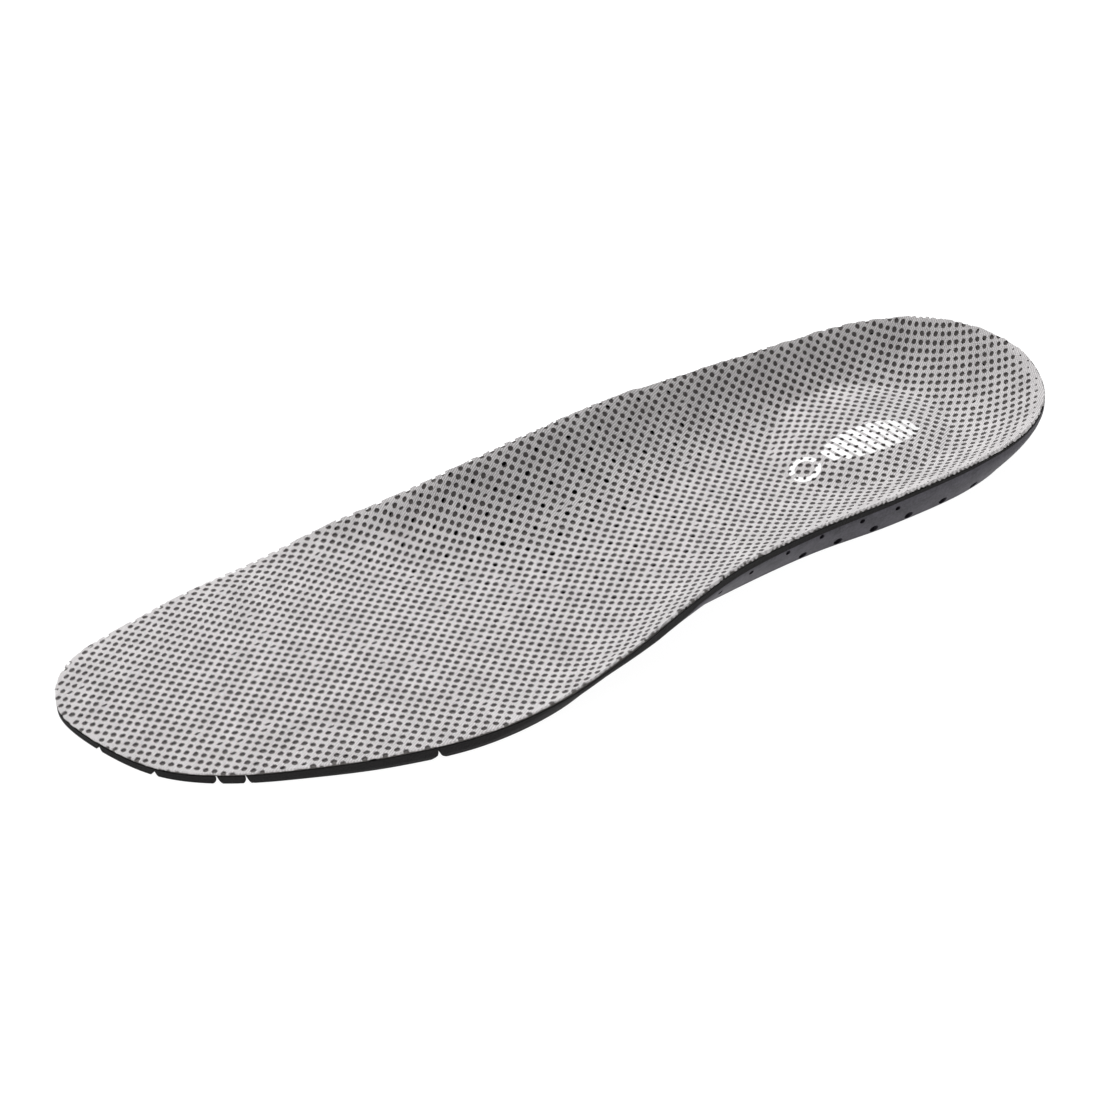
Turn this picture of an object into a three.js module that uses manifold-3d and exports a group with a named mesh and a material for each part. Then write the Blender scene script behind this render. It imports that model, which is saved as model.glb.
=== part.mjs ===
// Cushioned insole for a left foot: a knitted mesh cover on a lining, over black foam that deep
// flex grooves divide, with a moulded heel-and-arch shell and a soft pad under the heel dome.
// Millimetres. +X points to the toes, +Y to the outer (small-toe) side, +Z up.
// The origin is the middle of the footprint, on the surface that the insole lies on.
import * as THREE from 'three';
import Module from 'manifold-3d';
import { mergeVertices } from 'three/addons/utils/BufferGeometryUtils.js';

const wasm = await Module();
wasm.setup();

// ---------------------------------------------------------------- driving dimensions
const LENGTH = 279.6;
const BALL_WIDTH = 96;
const HEEL_WIDTH = 67;
const ARCH_RISE = 1; // multiplies how far the rim climbs above the bed

const COVER = 0.4; // knitted mesh
const LINING = 0.75; // backing knit
const PRINT = 0.2; // transfer film on the heel
const GAP = 0.3; // glue line between neighbouring layers

const BALL_GROOVE_FROM_TOES = 75.8;
const TOE_GROOVE_FROM_TOES = 31.3;
const SECOND_TOE_GROOVE_FROM_TOES = 25;
const GROOVE_WIDTH = 2.4;
const TOE_SPLIT_OUTER = { back: 0.073, front: 0.194 }; // shares of the ball width, off the middle
const TOE_SPLIT_INNER = { back: -0.104, front: -0.021 };

const EDGE = 2.4; // upright part of the foam edge below the rim
const SHELL_LENGTH = 150; // from the back of the heel to the shell's front edge
const SHELL_FLOOR = 1.3; // shell left under the heel pad, and its least thickness anywhere
const BAND_FRONT = 1.2; // black foam over the shell, at the shell's front edge
const BAND_MIDDLE = 2.4; // at its thickest, under the waist
const BAND_HEEL = 0.9; // and at the back of the heel
const BAND_MIDDLE_FROM_HEEL = 110;

const DOME_FROM_HEEL = 48.5;
const DOME_SIDE = 0; // off the middle line, to the outer side
const DOME_LENGTH = 52;
const DOME_WIDTH = 43;
const DOME_RISE = 3;
const DOME_FULLNESS = 2.4; // higher makes the top flatter and the flank steeper
const PAD_LENGTH = 47;
const PAD_WIDTH = 38;
const PRINT_LENGTH = 33;
const PRINT_WIDTH = 16;

// Stations from toe to heel. along: share of the length from the heel. floor: height of the bed on
// the middle line. Each side has its offset as a share of the local width, the height of the rim,
// tuck (how far the wall's foot sits inside the rim) and curl (how late the bed starts to climb).
const TOE_TIP = { along: 1, floor: 3.2, side: -0.205, height: 3.4, tuck: 0.5, curl: 3 };
const HEEL_BACK = { along: 0, floor: 5.6, side: 0.05, height: 21.3, tuck: 8.5, curl: 2.8 };
const STATIONS = [
  { along: 0.984, floor: 3.3, outer: [-0.025, 3.5, 0.5, 3], inner: [-0.335, 3.4, 0.5, 3] },
  { along: 0.952, floor: 3.6, outer: [0.145, 3.6, 0.5, 3], inner: [-0.405, 3.4, 0.5, 3] },
  { along: 0.902, floor: 4.1, outer: [0.267, 3.9, 0.5, 3], inner: [-0.444, 3.5, 0.5, 3] },
  { along: 0.834, floor: 4.8, outer: [0.364, 4.4, 0.5, 3], inner: [-0.483, 3.7, 0.5, 3] },
  { along: 0.763, floor: 5.5, outer: [0.443, 5.0, 0.5, 3], inner: [-0.499, 4.2, 0.6, 4] },
  { along: 0.687, floor: 5.4, outer: [0.493, 5.4, 0.7, 4], inner: [-0.485, 8.5, 2.5, 5] },
  { along: 0.612, floor: 4.8, outer: [0.497, 6.8, 2.5, 6], inner: [-0.434, 14.3, 5.5, 3.2] },
  { along: 0.537, floor: 5.7, outer: [0.523, 10.8, 7.5, 5], inner: [-0.405, 22.1, 8.5, 2.6] },
  { along: 0.462, floor: 7.2, outer: [0.543, 13.2, 8.8, 3.9], inner: [-0.474, 24.7, 9.5, 2.4] },
  { along: 0.387, floor: 7.7, outer: [0.481, 12.6, 4.8, 3.8], inner: [-0.542, 24.4, 9, 2.6] },
  { along: 0.298, floor: 6.4, outer: [0.425, 11.4, 2.8, 2.8], inner: [-0.569, 21.9, 7.5, 3] },
  { along: 0.208, floor: 5.5, outer: [0.433, 12.1, 2.4, 3], inner: [-0.567, 20.7, 6.5, 3.1] },
  { along: 0.119, floor: 5.5, outer: [0.428, 13, 3.6, 3.2], inner: [-0.557, 19.6, 6.5, 3] },
  { along: 0.054, floor: 5.6, outer: [0.393, 15.2, 7, 3], inner: [-0.449, 20, 8, 2.9] },
  { along: 0.015, floor: 5.6, outer: [0.282, 18.6, 9.5, 2.9], inner: [-0.215, 21.6, 8.5, 2.8] },
];
const WIDENING = { from: 0.4, to: 0.62 }; // where the heel's width passes into the ball's
const SPINE_HEEL = 36; // the middle line stops this far short of the heel
const SPINE_TOE = 38; // and of the toes

const STEPS = 2; // rim samples between neighbouring stations
const RINGS = [0, 0.36, 0.58, 0.76, 0.9, 1]; // from the middle line out to the rim
const STEEPEST = 2.2; // limit of the thickness correction on a slope
const TUCK_SLOPE = 0.9; // least height of the wall's slanted part, as a share of its tuck
const CURVE_SIDES = 28;
const TALL = 60; // height of the cutting prisms
const TINY = 1e-5;
const UNDERFOOT = -1; // raw solids start below the ground, and the trim cuts them off at it
const UNDER_LINING = COVER + GAP + LINING + GAP;

// ---------------------------------------------------------------- outline and bed
const smoothstep = (from, to, x) => THREE.MathUtils.smoothstep(x, from, to);
const fromHeel = (distance) => distance - LENGTH / 2;
const fromToes = (distance) => LENGTH / 2 - distance;
const widthAt = (along) =>
  HEEL_WIDTH + (BALL_WIDTH - HEEL_WIDTH) * smoothstep(WIDENING.from, WIDENING.to, along);

function rimPoint(along, floor, side, height, tuck, curl) {
  const rim = floor + (height - floor) * ARCH_RISE;
  return { x: (along - 0.5) * LENGTH, y: side * widthAt(along), floor, height: rim, tuck, curl };
}

function endPoint(end) {
  return rimPoint(end.along, end.floor, end.side, end.height, end.tuck, end.curl);
}

function sidePoints(sideName) {
  return STATIONS.map((station) => rimPoint(station.along, station.floor, ...station[sideName]));
}

// One smooth step between b and c, with a and d as its neighbours.
function catmullRom(a, b, c, d, t) {
  const point = {};
  for (const key of Object.keys(b)) {
    const bend = 2 * a[key] - 5 * b[key] + 4 * c[key] - d[key];
    const twist = 3 * (b[key] - c[key]) + d[key] - a[key];
    point[key] = b[key] + 0.5 * t * (c[key] - a[key] + t * (bend + t * twist));
  }
  return point;
}

// The rim as a closed loop: toe tip, outer side, back of the heel, inner side.
function sampleRim() {
  const outer = sidePoints('outer');
  const inner = sidePoints('inner').reverse();
  const knots = [endPoint(TOE_TIP), ...outer, endPoint(HEEL_BACK), ...inner];
  const knot = (index) => knots[(index + knots.length) % knots.length];
  const samples = [];
  for (let index = 0; index < knots.length; index += 1) {
    for (let step = 0; step < STEPS; step += 1) {
      const around = [knot(index - 1), knot(index), knot(index + 1), knot(index + 2)];
      samples.push(catmullRom(...around, step / STEPS));
    }
  }
  const xs = samples.map((point) => point.x);
  const ys = samples.map((point) => point.y);
  const middleX = (Math.max(...xs) + Math.min(...xs)) / 2;
  const middleY = (Math.max(...ys) + Math.min(...ys)) / 2;
  return samples.map((point) => ({ ...point, x: point.x - middleX, y: point.y - middleY }));
}

const rim = sampleRim();
const COUNT = rim.length;

// The middle line: halfway between opposite rim points, and stopped short of both ends.
const midpoints = rim.slice(0, COUNT / 2 + 1).map((point, index) => {
  const facing = rim[(COUNT - index) % COUNT];
  return { x: (point.x + facing.x) / 2, y: (point.y + facing.y) / 2, floor: point.floor };
});

function spineAt(x) {
  const at = THREE.MathUtils.clamp(x, fromHeel(SPINE_HEEL), -fromHeel(SPINE_TOE));
  const after = midpoints.findIndex((point) => point.x <= at);
  const [front, back] = [midpoints[after - 1], midpoints[after]];
  const share = (front.x - at) / (front.x - back.x);
  const mix = (key) => front[key] + (back[key] - front[key]) * share;
  return { x: at, y: mix('y'), floor: mix('floor') };
}

const spine = rim.map((_, index) => spineAt(midpoints[Math.min(index, COUNT - index)].x));
const dome = { x: fromHeel(DOME_FROM_HEEL), y: spineAt(fromHeel(DOME_FROM_HEEL)).y + DOME_SIDE };

function domeHeight(x, y) {
  const reach = Math.hypot((x - dome.x) / (DOME_LENGTH / 2), (y - dome.y) / (DOME_WIDTH / 2));
  return reach < 1 ? DOME_RISE * (1 - reach ** DOME_FULLNESS) : 0;
}

function bedPoint(index, ring) {
  const [middle, edge] = [spine[index], rim[index]];
  const x = middle.x + ring * (edge.x - middle.x);
  const y = middle.y + ring * (edge.y - middle.y);
  const climb = (edge.height - middle.floor) * ring ** edge.curl;
  return new THREE.Vector3(x, y, middle.floor + climb + domeHeight(x, y));
}

// The bed's grid, with the factor that turns a thickness into a drop on a slope.
const bed = rim.map((_, index) => RINGS.map((ring) => bedPoint(index, ring)));
const steepness = bed.map((row, index) =>
  row.map((_, ring) => {
    if (ring === 0) return 1;
    const before = bed[(index + COUNT - 1) % COUNT][ring];
    const after = bed[(index + 1) % COUNT][ring];
    const outward = row[Math.min(ring + 1, RINGS.length - 1)].clone().sub(row[ring - 1]);
    const normal = after.clone().sub(before).cross(outward).normalize();
    return Math.min(STEEPEST, 1 / Math.max(TINY, Math.abs(normal.z)));
  }),
);

// ---------------------------------------------------------------- closed solids
// A closed solid from one profile per rim sample. Every profile starts and ends on the middle line,
// and faces whose corners fall together there are left out. Upper and lower rows are split along
// the same diagonal, so that stacked layers stay parallel.
function loft(profile, rows) {
  const positions = [];
  const triangles = [];
  for (let index = 0; index < COUNT; index += 1) {
    for (let row = 0; row < rows; row += 1) positions.push(...profile(index, row));
  }
  const near = (a, b) => (k) => Math.abs(positions[3 * a + k] - positions[3 * b + k]) < TINY;
  const same = (a, b) => [0, 1, 2].every(near(a, b));
  const face = (a, b, c) => {
    if (!same(a, b) && !same(b, c) && !same(c, a)) triangles.push(a, c, b);
  };
  for (let index = 0; index < COUNT; index += 1) {
    for (let row = 0; row < rows - 1; row += 1) {
      const [a, b] = [index * rows + row, index * rows + row + 1];
      const [c, d] = [a, b].map((corner) => (corner + rows) % (COUNT * rows));
      if (row < rows / 2 - 1) {
        face(a, c, d);
        face(a, d, b);
      } else {
        face(a, c, b);
        face(c, d, b);
      }
    }
  }
  const geometry = new THREE.BufferGeometry();
  geometry.setAttribute('position', new THREE.Float32BufferAttribute(positions, 3));
  geometry.setIndex(triangles);
  return toSolid(geometry);
}

function toSolid(geometry) {
  geometry.deleteAttribute('normal');
  geometry.deleteAttribute('uv');
  const merged = mergeVertices(geometry, TINY);
  const vertProperties = Float32Array.from(merged.attributes.position.array);
  const triVerts = Uint32Array.from(merged.index.array);
  return new wasm.Manifold(new wasm.Mesh({ numProp: 3, vertProperties, triVerts }));
}

function toGeometry(solid) {
  const { vertProperties, triVerts } = solid.getMesh();
  const geometry = new THREE.BufferGeometry();
  geometry.setAttribute('position', new THREE.BufferAttribute(vertProperties, 3));
  geometry.setIndex(new THREE.BufferAttribute(triVerts, 1));
  return geometry;
}

// A sheet is a height for each cell of the bed's grid: so far below the bed, or at a fixed level.
const below = (depth) => (index, ring) => bed[index][ring].z - depth * steepness[index][ring];
const level = (height) => () => height;

function layer(upper, lower) {
  const outermost = RINGS.length - 1;
  return loft((index, row) => {
    const onTop = row <= outermost;
    const ring = onTop ? row : 2 * outermost + 1 - row;
    const { x, y } = bed[index][ring];
    return [x, y, (onTop ? upper : lower)(index, ring)];
  }, 2 * RINGS.length);
}

// The outer form that trims foam and shell: upright by the rim, then in to the foot of the wall.
function trimForm() {
  return loft((index, row) => {
    const [middle, edge] = [spine[index], rim[index]];
    const reach = Math.hypot(edge.x - middle.x, edge.y - middle.y);
    const upright = Math.max(edge.tuck * TUCK_SLOPE, edge.height - UNDER_LINING - EDGE);
    const [share, height] = [
      [0, TALL],
      [1, TALL],
      [1, Math.min(upright, edge.height - UNDER_LINING)],
      [1 - edge.tuck / reach, 0],
      [0, 0],
    ][row];
    return [middle.x + share * (edge.x - middle.x), middle.y + share * (edge.y - middle.y), height];
  }, 5);
}

function prism(shape, low, high) {
  const settings = { depth: high - low, bevelEnabled: false, curveSegments: CURVE_SIDES };
  return toSolid(new THREE.ExtrudeGeometry(shape, settings).translate(0, 0, low));
}

// The half-space on the right of the line from start to end, kept clear of it by clearance.
function rightOf(start, end, clearance = 0) {
  const along = end.clone().sub(start).normalize();
  const out = new THREE.Vector2(along.y, -along.x);
  const corner = (forward, sideways) =>
    start.clone().addScaledVector(along, forward).addScaledVector(out, clearance + sideways);
  const far = 2 * LENGTH;
  const corners = [corner(-far, 0), corner(far, 0), corner(far, far), corner(-far, far)];
  return prism(new THREE.Shape(corners), -TALL, TALL);
}

const point = (x, y) => new THREE.Vector2(x, y);
const infront = (x) => rightOf(point(x, -1), point(x, 1));
const behind = (x) => rightOf(point(x, 1), point(x, -1));

function oval(length, width) {
  return new THREE.Shape().absellipse(dome.x, dome.y, length / 2, width / 2, 0, 2 * Math.PI);
}

// ---------------------------------------------------------------- the layers
const trim = trimForm();
const ballGroove = fromToes(BALL_GROOVE_FROM_TOES);
const toeGroove = fromToes(TOE_GROOVE_FROM_TOES);
const secondToeGroove = fromToes(SECOND_TOE_GROOVE_FROM_TOES);
const shellFront = fromHeel(SHELL_LENGTH);

// Thickness of the black foam over the shell: thickest under the waist, thinner to both ends.
function bandThickness(x) {
  const toMiddle = smoothstep(fromHeel(BAND_MIDDLE_FROM_HEEL), shellFront, x);
  const toHeel = smoothstep(fromHeel(0), fromHeel(BAND_MIDDLE_FROM_HEEL), x);
  return BAND_HEEL + (BAND_MIDDLE - BAND_HEEL) * toHeel + (BAND_FRONT - BAND_MIDDLE) * toMiddle;
}

const foamTop = below(UNDER_LINING);
function bandFoot(index, ring) {
  const thinnest = foamTop(index, ring) - BAND_HEEL * steepness[index][ring];
  const wanted = foamTop(index, ring) - bandThickness(bed[index][ring].x) * steepness[index][ring];
  return Math.min(thinnest, Math.max(wanted, SHELL_FLOOR + GAP));
}
const shellTop = (index, ring) => bandFoot(index, ring) - GAP * steepness[index][ring];

function makeCover() {
  return layer(below(0), below(COVER));
}

function makeLining() {
  return layer(below(COVER + GAP), below(COVER + GAP + LINING));
}

function makePrint() {
  const film = layer(below(-GAP - PRINT), below(-GAP));
  return film.intersect(prism(oval(PRINT_LENGTH, PRINT_WIDTH), -TALL, TALL));
}

function makeFoam() {
  return layer(foamTop, level(UNDERFOOT)).intersect(trim);
}

// The well that the heel pad sits in, from a floor upwards.
function padRoom(floor) {
  return prism(oval(PAD_LENGTH + 2 * GAP, PAD_WIDTH + 2 * GAP), floor, TALL);
}

function makeRearFoam(foam) {
  const shellRoom = layer(bandFoot, level(2 * UNDERFOOT)).intersect(behind(shellFront));
  const back = foam.intersect(behind(ballGroove - GROOVE_WIDTH / 2));
  return back.subtract(shellRoom).subtract(padRoom(-TALL));
}

function makeShell() {
  const solid = layer(shellTop, level(UNDERFOOT)).intersect(trim);
  return solid.intersect(behind(shellFront - GAP)).subtract(padRoom(SHELL_FLOOR));
}

function makeHeelPad() {
  const block = layer(foamTop, level(SHELL_FLOOR + GAP));
  return block.intersect(prism(oval(PAD_LENGTH, PAD_WIDTH), -TALL, TALL));
}

function makeBallFoam(foam) {
  const ahead = foam.intersect(infront(ballGroove + GROOVE_WIDTH / 2));
  return ahead.intersect(behind(toeGroove - GROOVE_WIDTH / 2));
}

// A narrow bar of foam between the two toe grooves.
function makeToeBar(foam) {
  const ahead = foam.intersect(infront(toeGroove + GROOVE_WIDTH / 2));
  return ahead.intersect(behind(secondToeGroove - GROOVE_WIDTH / 2));
}

// The toe foam in three islands, parted by two grooves that run from the toe bar to the edge.
function makeToeIslands(foam) {
  const toes = foam.intersect(infront(secondToeGroove + GROOVE_WIDTH / 2));
  const half = GROOVE_WIDTH / 2;
  const line = (split) => [
    point(secondToeGroove, split.back * BALL_WIDTH),
    point(LENGTH / 2, split.front * BALL_WIDTH),
  ];
  const [outerLine, innerLine] = [line(TOE_SPLIT_OUTER), line(TOE_SPLIT_INNER)];
  const inwardOf = (ends) => rightOf(ends[0], ends[1], half);
  const outwardOf = (ends) => rightOf(ends[1], ends[0], half);
  return {
    outer: toes.intersect(outwardOf(outerLine)),
    middle: toes.intersect(inwardOf(outerLine)).intersect(outwardOf(innerLine)),
    inner: toes.intersect(inwardOf(innerLine)),
  };
}

// ---------------------------------------------------------------- the assembly
const FINISHES = {
  mesh: { color: '#b4b1b0', roughness: 0.95, metalness: 0 },
  lining: { color: '#4c4a4c', roughness: 0.95, metalness: 0 },
  print: { color: '#f4f4f4', roughness: 0.6, metalness: 0 },
  foam: { color: '#201f20', roughness: 0.9, metalness: 0 },
  shell: { color: '#504f55', roughness: 0.75, metalness: 0 },
  pad: { color: '#6a6a6e', roughness: 0.7, metalness: 0 },
};

const insole = new THREE.Group();

function addPiece(name, solid, finish) {
  const mesh = new THREE.Mesh(toGeometry(solid), new THREE.MeshStandardMaterial(finish));
  mesh.name = name;
  insole.add(mesh);
}

const foam = makeFoam();
const toes = makeToeIslands(foam);
addPiece('top_cover', makeCover(), FINISHES.mesh);
addPiece('cover_lining', makeLining(), FINISHES.lining);
addPiece('heel_print', makePrint(), FINISHES.print);
addPiece('rear_foam', makeRearFoam(foam), FINISHES.foam);
addPiece('ball_foam', makeBallFoam(foam), FINISHES.foam);
addPiece('toe_bar_foam', makeToeBar(foam), FINISHES.foam);
addPiece('toe_foam_outer', toes.outer, FINISHES.foam);
addPiece('toe_foam_middle', toes.middle, FINISHES.foam);
addPiece('toe_foam_inner', toes.inner, FINISHES.foam);
addPiece('heel_arch_shell', makeShell(), FINISHES.shell);
addPiece('heel_cushion', makeHeelPad(), FINISHES.pad);

export default insole;
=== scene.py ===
"""Looks of a cushioned insole for a left foot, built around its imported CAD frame.

Everything is drawn from one surface, the bed: the face that the foot rests on. The cloth is knitted
flat, cut to its pattern and laid on the bed. Foam and shell are lofted under it and cut apart.
Metres. +X points to the toes, +Y to the outer (small-toe) side, +Z up.
"""

import math
import random

import bmesh
import bpy
import numpy as np
from mathutils import Matrix, Quaternion, Vector
from mathutils.bvhtree import BVHTree
from mathutils.kdtree import KDTree


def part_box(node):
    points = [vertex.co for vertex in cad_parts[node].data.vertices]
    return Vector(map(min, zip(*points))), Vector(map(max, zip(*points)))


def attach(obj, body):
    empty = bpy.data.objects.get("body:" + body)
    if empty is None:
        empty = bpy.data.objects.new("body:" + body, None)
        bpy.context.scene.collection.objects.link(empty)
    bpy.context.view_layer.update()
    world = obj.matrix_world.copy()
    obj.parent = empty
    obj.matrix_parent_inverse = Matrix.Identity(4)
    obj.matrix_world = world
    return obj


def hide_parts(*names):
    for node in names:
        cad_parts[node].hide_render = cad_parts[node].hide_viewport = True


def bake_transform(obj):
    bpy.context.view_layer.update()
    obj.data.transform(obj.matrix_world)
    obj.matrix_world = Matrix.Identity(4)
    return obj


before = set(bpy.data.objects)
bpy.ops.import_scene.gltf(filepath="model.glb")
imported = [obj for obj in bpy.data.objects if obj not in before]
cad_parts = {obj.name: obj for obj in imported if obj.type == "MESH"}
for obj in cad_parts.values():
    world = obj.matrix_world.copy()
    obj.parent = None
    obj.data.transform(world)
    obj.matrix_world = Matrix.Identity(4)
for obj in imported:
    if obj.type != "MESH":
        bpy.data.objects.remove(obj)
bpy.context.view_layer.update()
MM = 0.001
TAU = 2 * math.pi

# ------------------------------------------------------------------ places from the frame
COVER_LOW, COVER_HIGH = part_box("top_cover")
LENGTH = COVER_HIGH.x - COVER_LOW.x
WIDTH = COVER_HIGH.y - COVER_LOW.y
TOP = COVER_HIGH.z
PAD_LOW, PAD_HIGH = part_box("heel_cushion")
DOME_X, DOME_Y = (PAD_LOW.x + PAD_HIGH.x) / 2, (PAD_LOW.y + PAD_HIGH.y) / 2
PAD_LENGTH, PAD_WIDTH = PAD_HIGH.x - PAD_LOW.x, PAD_HIGH.y - PAD_LOW.y
BALL_GROOVE = (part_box("rear_foam")[1].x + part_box("ball_foam")[0].x) / 2
TOE_GROOVE = (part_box("ball_foam")[1].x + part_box("toe_bar_foam")[0].x) / 2
SECOND_GROOVE = (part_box("toe_bar_foam")[1].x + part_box("toe_foam_inner")[0].x) / 2
SHELL_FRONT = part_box("heel_arch_shell")[1].x

# ------------------------------------------------------------------ sizes
BALL_WIDTH = 96 * MM
HEEL_WIDTH = 67 * MM
WIDENING = (0.4, 0.62)  # shares of the length where the heel's width passes into the ball's
SPINE_HEEL, SPINE_TOE = 36 * MM, 38 * MM  # the middle line stops this far short of the ends
LIP_WIDTH, LIP_DROP = 3.2 * MM, 0.9 * MM  # the rim rolls outwards over its last millimetres
LIP_CLIMB = (2 * MM, 10 * MM)  # the lip grows from none to full as the side's climb passes these
DOME_LENGTH, DOME_WIDTH, DOME_RISE = 52 * MM, 43 * MM, 4.2 * MM
DOME_FULLNESS = 2.4  # above 2 the dome is flatter on top and steeper at its edge

COVER = 0.4 * MM  # knitted mesh
LINING = 0.7 * MM  # backing knit
SEAM = 0.02 * MM  # glue line between neighbours
FOAM_TOP = COVER + LINING + 2 * SEAM
BAND_HEEL, BAND_MIDDLE, BAND_FRONT = 0.5 * MM, 1.9 * MM, 0.7 * MM  # black foam over the shell
BAND_MIDDLE_FROM_HEEL = 110 * MM
SHELL_FLOOR = 1.3 * MM  # least thickness of the shell's sole
PAD_FLOOR = 1.6 * MM  # height of the heel pad's underside
SHELL_TAPER = 26 * MM  # the shell runs out to nothing over this length at its front
SLIT = 0.4 * MM  # groove between two foam islands, at the cover
BALL_ROUND, TOE_ROUND = 2.8 * MM, 2.2 * MM  # rounding of the islands' lower edges
TOE_SPLIT_OUTER = (0.073, 0.194)  # shares of the ball width, at the groove and at the toe tip
TOE_SPLIT_INNER = (-0.104, -0.021)

HOLE_PITCH = 3.28 * MM  # along and across; a second set of holes sits in the middle of each four
HOLE_STEP = HOLE_PITCH / math.sqrt(2)  # between neighbouring holes of both sets
HOLE_LONG, HOLE_WIDE = 0.81 * MM, 0.78 * MM  # half sizes of a hole along and across
HOLE_UNEVEN, HOLE_SHIFT = 0.05, 0.04 * MM  # how much holes differ in size, lean and place
PINCHED, PINCH = 0.03, 0.6  # share of the holes that are pulled narrow, and how narrow
RAGGED = 0.03  # unevenness of a hole's edge
PILLOW = 0.05 * MM  # how far the yarn between four holes stands proud
YARN = 0.6  # width of a yarn in mm
FILM, FILM_HOLE = 0.05 * MM, 0.55  # the print's film, and the share of a hole that it leaves open
PERFORATION_PITCH = 10 * MM  # holes punched through the lining
PERFORATION = 0.8 * MM
PIT_PITCH = 11.6 * MM  # pits in the shell's sole along the foot, with a row in between
PIT_ROWS = 5.6 * MM
PIT_FIRST = (-53.8 * MM, 25.8 * MM)
PIT_RADIUS, PIT_DEPTH = 1.5 * MM, 3.4 * MM
PIT_TO_WALL, PIT_TO_PAD, PIT_TO_FRONT = 3.2 * MM, 3 * MM, 8 * MM
# Rows of pits in the outer wall: where the row starts, how many, pitch, height and radius.
WALL_PITS = (
    (-11.5 * MM, 7, 11.7 * MM, 7.5 * MM, 0.85 * MM),
    (-53.2 * MM, 6, 11.3 * MM, 1.9 * MM, 1.45 * MM),
)
WALL_PIT_DEPTH = 3.2 * MM
FRAY = 0.16 * MM  # roughness of the knit's cut edge
HEM = 0.3 * MM  # the knit's cut edge is pressed down over the lining's, over this width
HEM_DEPTH_HEEL, HEM_DEPTH_TOES = 0.5 * MM, 0.1 * MM
HEM_DEEPENS = (20 * MM, -40 * MM)  # along the foot, from the toes' depth to the heel's

# Stations from toe to heel: share of the length from the heel, height of the bed on the middle line,
# then for the outer and the inner side the offset as a share of the local width, the height of the
# rim, tuck (how far the wall's foot sits inside the rim) and curl (how late the bed starts to climb).
TOE_TIP = (1, 3.2, -0.205, 3.4, 0.5, 3)
HEEL_BACK = (0, 5.6, 0.05, 21.3, 8.5, 2.8)
STATIONS = [
    (0.984, 3.3, (-0.025, 3.5, 0.5, 3), (-0.335, 3.4, 0.5, 3)),
    (0.952, 3.6, (0.145, 3.6, 0.5, 3), (-0.405, 3.4, 0.5, 3)),
    (0.902, 4.1, (0.267, 3.9, 0.5, 3), (-0.444, 3.5, 0.5, 3)),
    (0.834, 4.8, (0.364, 4.4, 0.5, 3), (-0.483, 3.7, 0.5, 3)),
    (0.763, 5.5, (0.443, 5.0, 0.5, 3), (-0.499, 4.2, 0.6, 4)),
    (0.687, 5.4, (0.493, 5.4, 0.7, 4), (-0.485, 8.5, 2.5, 5)),
    (0.612, 4.8, (0.497, 6.8, 2.5, 6), (-0.434, 14.3, 5.5, 3.2)),
    (0.537, 5.7, (0.523, 10.8, 7.5, 5), (-0.405, 22.1, 8.5, 2.6)),
    (0.462, 7.2, (0.543, 13.2, 8.8, 3.9), (-0.474, 24.7, 9.5, 2.4)),
    (0.387, 7.7, (0.481, 12.6, 4.8, 3.8), (-0.542, 24.4, 9, 2.6)),
    (0.298, 6.4, (0.425, 11.4, 2.8, 2.8), (-0.569, 21.9, 7.5, 3)),
    (0.208, 5.5, (0.433, 12.1, 2.4, 3), (-0.567, 20.7, 6.5, 3.1)),
    (0.119, 5.5, (0.428, 13, 3.6, 3.2), (-0.557, 19.6, 6.5, 3)),
    (0.054, 5.6, (0.393, 15.2, 7, 3), (-0.449, 20, 8, 2.9)),
    (0.015, 5.6, (0.282, 18.6, 9.5, 2.9), (-0.215, 21.6, 8.5, 2.8)),
]
RIM_STEPS = 16  # rim samples between neighbouring stations

CLOTH_NOISE = np.random.default_rng(11)
DICE = random.Random(5)


def smoothstep(low, high, value):
    """A soft step from 0 at low to 1 at high."""
    share = np.clip((value - low) / (high - low), 0, 1)
    return share * share * (3 - 2 * share)


# ------------------------------------------------------------------ the rim and the middle line
def rim_point(along, floor, side, height, tuck, curl):
    """One station of the rim in metres, in the order that sample_rim gives."""
    width = HEEL_WIDTH + (BALL_WIDTH - HEEL_WIDTH) * smoothstep(*WIDENING, along)
    return [(along - 0.5) * LENGTH, side * width, floor * MM, height * MM, tuck * MM, curl]


def sample_rim():
    """The rim as a closed smooth curve: x, y, floor, height, tuck and curl of each sample."""
    outer = [rim_point(along, floor, *side) for along, floor, side, _ in STATIONS]
    inner = [rim_point(along, floor, *side) for along, floor, _, side in reversed(STATIONS)]
    knots = np.array([rim_point(*TOE_TIP), *outer, rim_point(*HEEL_BACK), *inner])
    a, b, c, d = (np.roll(knots, shift, axis=0)[:, None, :] for shift in (1, 0, -1, -2))
    t = (np.arange(RIM_STEPS) / RIM_STEPS)[None, :, None]
    bend = 2 * a - 5 * b + 4 * c - d
    twist = 3 * (b - c) + d - a
    samples = (b + 0.5 * t * (c - a + t * (bend + t * twist))).reshape(-1, knots.shape[1])
    low, high = samples[:, :2].min(0), samples[:, :2].max(0)
    samples[:, :2] = (samples[:, :2] - (low + high) / 2) * (LENGTH, WIDTH) / (high - low)
    samples[:, 3] *= TOP / samples[:, 3].max()
    return samples


def middle_line():
    """For each rim sample the point of the middle line that it belongs to: x, y and floor."""
    facing = RIM[-np.arange(COUNT) % COUNT]
    middle = ((RIM + facing) / 2)[:, :3]
    line = middle[: COUNT // 2 + 1][::-1]
    x = np.clip(middle[:, 0], SPINE_HEEL - LENGTH / 2, LENGTH / 2 - SPINE_TOE)
    return np.column_stack([x] + [np.interp(x, line[:, 0], line[:, k]) for k in (1, 2)])


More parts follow.
